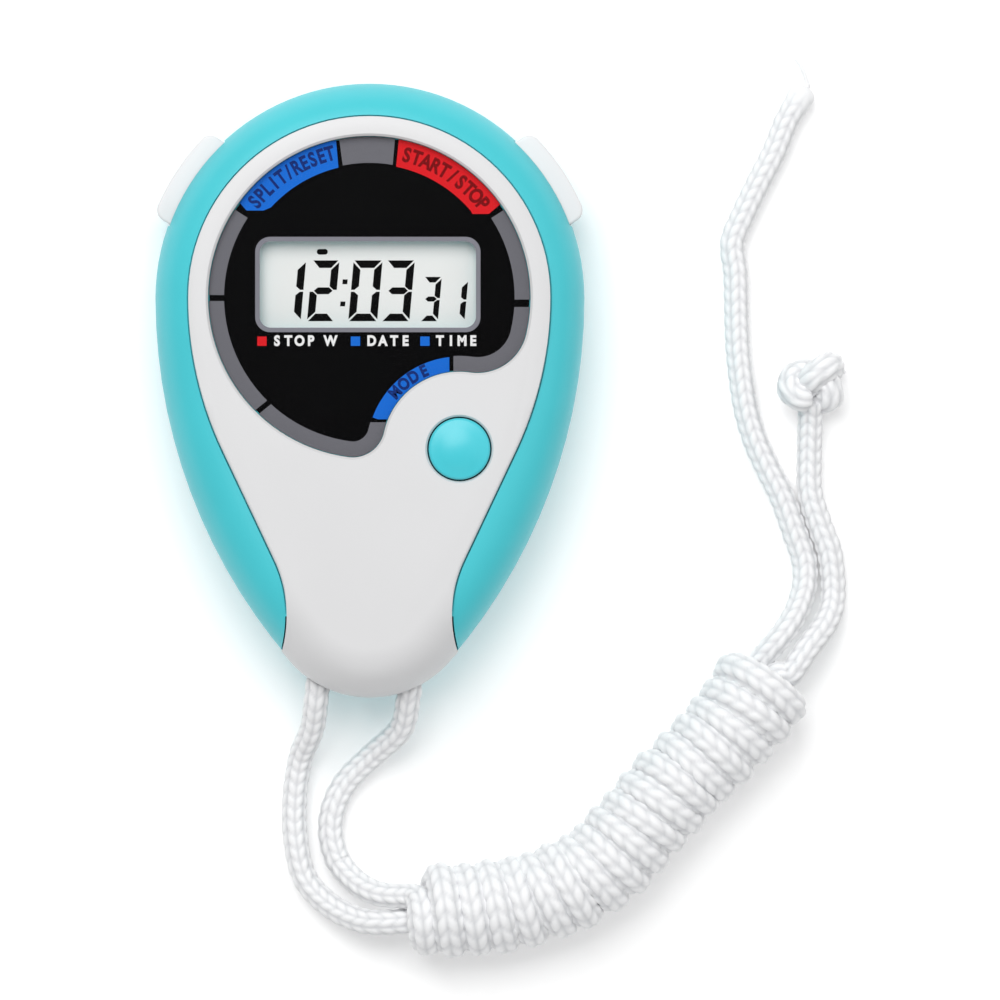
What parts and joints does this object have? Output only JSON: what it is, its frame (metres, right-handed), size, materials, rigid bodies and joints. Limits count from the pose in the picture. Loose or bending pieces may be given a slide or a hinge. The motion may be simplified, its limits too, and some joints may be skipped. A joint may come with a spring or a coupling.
{
  "type": "stopwatch",
  "caption": "Hand-held quartz stopwatch with a liquid crystal display in an egg-shaped two-shell case, rim buttons, a mode button and a wound knitted neck cord.",
  "frame": {"origin": "under the middle of the case, on the plane of its back", "axes": "+Z out of the display, +Y to the top of the display, +X to the right of the display"},
  "size_m": [0.093, 0.1164, 0.0188],
  "materials": {
    "aqua_abs": "satin moulded",
    "white_abs": "satin moulded",
    "aqua_gloss": "gloss",
    "clear_acrylic": "clear gloss",
    "print_black": "printed film",
    "tape": "adhesive film",
    "polarizer": "film",
    "lcd_glass": "clear",
    "frame_plastic": "moulded",
    "zebra_rubber": "silicone",
    "board": "solder mask",
    "epoxy_black": "epoxy",
    "tin_can": "bright",
    "ceramic": "fired",
    "brass_sheet": "bright",
    "spring_steel": "wire",
    "cell_steel": "nickel plated",
    "black_rubber": "nitrile",
    "silicone": "silicone",
    "screw_steel": "zinc plated",
    "cord_white": "knitted polyester"
  },
  "bodies": {
    "watch": {"rear_case": "aqua_abs", "front_case": "aqua_abs", "faceplate": "white_abs", "display_lens": "clear_acrylic", "print_film": "print_black", "lens_tape": "tape", "lcd_front_polarizer": "polarizer", "lcd_front_glass": "lcd_glass", "lcd_rear_glass": "lcd_glass", "lcd_rear_polarizer": "polarizer", "lcd_frame": "frame_plastic", "zebra_upper": "zebra_rubber", "zebra_lower": "zebra_rubber", "pcb": "board", "chip_blob": "epoxy_black", "quartz_crystal": "tin_can", "resistors": "epoxy_black", "capacitors": "ceramic", "piezo_plate": "brass_sheet", "piezo_ceramic": "frame_plastic", "buzzer_spring": "spring_steel", "battery_cell": "cell_steel", "battery_contact_positive": "brass_sheet", "battery_contact_negative": "brass_sheet", "start_contact": "brass_sheet", "split_contact": "brass_sheet", "mode_pad": "silicone", "mode_pill": "black_rubber", "case_screws": "screw_steel", "pcb_screws": "screw_steel", "cord_left_lead": "cord_white", "cord_inner_loop": "cord_white", "cord_right_lead": "cord_white", "cord_hank": "cord_white", "cord_knot_tail": "cord_white", "cord_knot": "cord_white", "cord_bare_tail": "cord_white"},
    "start_button": {"start_button": "white_abs"},
    "split_button": {"split_button": "white_abs"},
    "mode_button": {"mode_button": "aqua_gloss"},
    "battery_cover": {"battery_cover": "aqua_abs", "cover_seal": "black_rubber"}
  },
  "joints": [
    {"name": "start_press", "type": "slide", "parent": "watch", "child": "start_button", "axis": [-0.8339, -0.5519, 0], "range_m": [0, 0.001], "stiffness_N_per_m": 800},
    {"name": "split_press", "type": "slide", "parent": "watch", "child": "split_button", "axis": [0.8339, -0.5519, 0], "range_m": [0, 0.001], "stiffness_N_per_m": 800},
    {"name": "mode_press", "type": "slide", "parent": "watch", "child": "mode_button", "axis": [0, 0, -1], "range_m": [0, 0.001], "stiffness_N_per_m": 800, "deforming": ["mode_pad", "mode_pill"]},
    {"name": "cover_twist", "type": "hinge", "parent": "watch", "child": "battery_cover", "pos_m": [-0.008, -0.006, 0], "axis": [0, 0, 1], "range_deg": [0, 60]}
  ]
}
